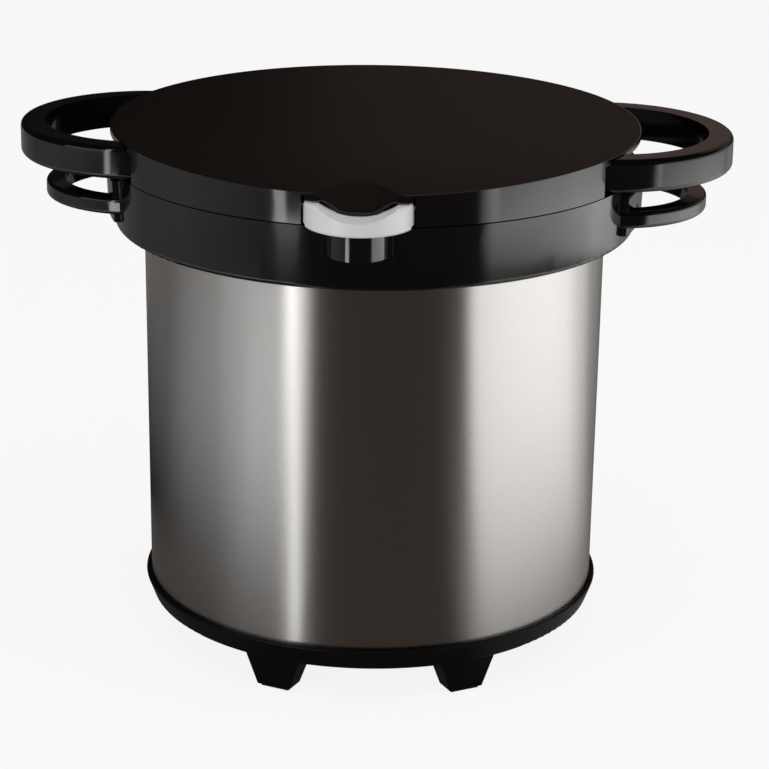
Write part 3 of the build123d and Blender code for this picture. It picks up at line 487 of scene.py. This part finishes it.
# The pads are soft black rubber with a dull skin. One is pressed into the bottom of each foot, so
# that the cooker stands still and scratches nothing.
black_rubber = grained(
    "black_rubber", waves=900.0, detail=3.0, low=(0.015, 0.015, 0.015, 1.0), high=(0.03, 0.03, 0.03, 1.0),
    rough=0.65, rougher=0.80, depth=0.05 * mm)
dress(black_rubber, "foot_pads")

# The two carrying loops are gloss black like the collar, each in one piece with the curved plate
# that its screws pull to the collar from inside.
loop_edge = 0.5 * mm
soften("carrying_loop_left", "body_handle_left", "container", gloss_black, loop_edge)
soften("carrying_loop_right", "body_handle_right", "container", gloss_black, loop_edge)

# The latch housing is a half-round gloss black box below the lever, with a flange at each side. The
# zinc-plated steel keeper that the hook's nose stands under crosses it.
housing_edge = 0.5 * mm
soften("latch_housing", "latch_boss", "container", gloss_black, housing_edge)
zinc_steel = grained(
    "zinc_steel", waves=500.0, detail=4.0, low=(0.55, 0.56, 0.58, 1.0), high=(0.72, 0.72, 0.70, 1.0),
    rough=0.25, rougher=0.45, Metallic=1.0)
dress(zinc_steel, "keeper_plate")

# The hinge socket is a gloss black moulding, screwed to the back of the collar. The hinge block plugs
# into it from above and carries a bright steel pin.
hinge_edge = 0.5 * mm
soften("hinge_housing", "hinge_socket", "container", gloss_black, hinge_edge)
soften("hinge_carrier", "hinge_block", "lid_carrier", gloss_black, hinge_edge)
bright_steel = grained(
    "bright_steel", waves=200.0, detail=4.0, low=(0.66, 0.66, 0.66, 1.0), high=(0.76, 0.76, 0.76, 1.0),
    rough=0.12, rougher=0.24, Metallic=1.0)
dress(bright_steel, "hinge_pin")

# All the screws are zinc-plated steel with pan heads. They are driven from inside the collar, from
# inside the lid and from under its liner, so none shows while the cooker is shut.
dress(zinc_steel, "body_handle_screws", "hinge_socket_screws", "lid_liner_screws", "lid_handle_screws")

# The lid's side is a gloss black moulding with a thin rim that stands round the cover, a notch for
# the lever at the front, a recess for the fingers at each side and the hinge knuckle at the back.
skirt_edge = 0.35 * mm
soften("lid_side", "lid_skirt", "lid", gloss_black, skirt_edge)

# The cover is a matte plate, a very dark brown-black with a fine even grain, laid in the rim and
# pressed down into the scoop for the thumb at the front.
cover_low = (0.0092, 0.0062, 0.0053, 1.0)
cover_high = (0.0122, 0.0085, 0.0075, 1.0)
cover_grain_depth = 0.05 * mm
cover_edge = 0.5 * mm
cover_turn = 12.0
cover_brown, cover_shader, shade = new_finish("brown_black_matte", {"Specular IOR Level": 0.16})
grain = shade.noise(waves=1500.0, detail=2.0)
cloud = shade.noise(waves=9.0)
shade.feed(cover_shader, {
    "Base Color": cloud.blend(cover_low, cover_high),
    "Roughness": grain.between(0.42, 0.52),
    "Normal": grain.bump(cover_grain_depth),
})
soften("lid_cover", "lid_top_plate", "lid", cover_brown, cover_edge, cover_turn)

# The two tall handles of the lid are thick gloss black loops with soft edges, screwed to the floor
# of the finger recesses.
handle_edge = 0.6 * mm
soften("lid_loop_left", "lid_handle_left", "lid", gloss_black, handle_edge)
soften("lid_loop_right", "lid_handle_right", "lid", gloss_black, handle_edge)

# The lid's underside is a satin black plate with a plug that fills the mouth, and holds cream foam
# and a flat silicone ring.
liner_plastic = grained(
    "liner_plastic", waves=700.0, detail=3.0, low=(0.028, 0.028, 0.03, 1.0), high=(0.045, 0.045, 0.048, 1.0),
    rough=0.38, rougher=0.53, depth=0.03 * mm)
dress(liner_plastic, "lid_liner")
insulating_foam = grained(
    "insulating_foam", waves=800.0, detail=5.0, low=(0.66, 0.58, 0.36, 1.0), high=(0.82, 0.76, 0.55, 1.0),
    rough=0.85, rougher=0.95, depth=0.3 * mm)
dress(insulating_foam, "lid_foam")
dress(grey_silicone, "lid_seal")

# The lever is white plastic with a soft sheen and well-rounded edges. It turns on two steel pins in
# the cheeks of its notch, and its steel hook is set into it.
lever_edge = 0.9 * mm
white_plastic = grained(
    "white_plastic", waves=40.0, detail=4.0, low=(0.74, 0.745, 0.735, 1.0), high=(0.78, 0.785, 0.78, 1.0),
    rough=0.28, rougher=0.38, depth=0.02 * mm, IOR=1.48)
soften("latch_lever", "lever", "latch", white_plastic, lever_edge)
dress(zinc_steel, "latch_hook")
dress(bright_steel, "lever_pins")

# Under each heel of the lever a small coil of zinc-plated wire pushes it back. The coil is wound
# from one circle of wire, as one fixed shape that rides with the lid.
coil_wire = 0.3 * mm
coil_radius = 1.3 * mm
coil_turns = 4
coil_steps = 20
coil_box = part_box("lever_springs")
coil_low = coil_box[0][2] + coil_wire
coil_high = coil_box[1][2] - coil_wire
coil_x = coil_box[1][0] - coil_radius - coil_wire
coil_y = (coil_box[0][1] + coil_box[1][1]) / 2
coil_rise = (coil_high - coil_low) / (coil_turns * coil_steps)
bm = bmesh.new()
for side in (-1, 1):
    made = bmesh.ops.create_circle(bm, cap_ends=False, segments=10, radius=coil_wire)["verts"]
    edges = list({e for v in made for e in v.link_edges})
    bmesh.ops.rotate(bm, verts=made, cent=(0, 0, 0), matrix=Matrix.Rotation(radians(90), 3, "X"))
    bmesh.ops.translate(bm, verts=made, vec=(side * coil_x + coil_radius, coil_y, coil_low))
    bmesh.ops.spin(
        bm, geom=made + edges, cent=(side * coil_x, coil_y, coil_low), axis=(0, 0, 1),
        dvec=(0, 0, coil_rise), angle=tau * coil_turns, steps=coil_turns * coil_steps)
bmesh.ops.holes_fill(bm, edges=[e for e in bm.edges if e.is_boundary], sides=12)
bmesh.ops.recalc_face_normals(bm, faces=bm.faces)
coils = add_object("lever_coils", bm, zinc_steel, crease=50.0)
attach(coils, "lid")
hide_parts("lever_springs")
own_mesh(coils)

# The cooking pot is drawn from stainless with a beaded rim. A thick aluminium disc is bonded under
# it to spread the heat, and two ears are riveted to its sides.
dress(satin_steel, "inner_pot")
heat_aluminium = grained(
    "heat_aluminium", waves=300.0, detail=4.0, low=(0.66, 0.66, 0.67, 1.0), high=(0.78, 0.78, 0.79, 1.0),
    rough=0.30, rougher=0.45, Metallic=1.0)
dress(heat_aluminium, "pot_base_disc")
dress(bright_steel, "pot_ears", "ear_rivets")

# The pot hangs by a bail of bright steel wire, whose ends turn in the two ears. A satin black grip
# is moulded round the middle of the wire.
dress(bright_steel, "bail")
dress(satin_black, "bail_grip")

# The pot's own lid is a low dome pressed from stainless. Its satin black knob is held by one
# zinc-plated screw, driven from below.
dress(satin_steel, "pot_lid")
dress(satin_black, "pot_knob")
dress(zinc_steel, "knob_screw")
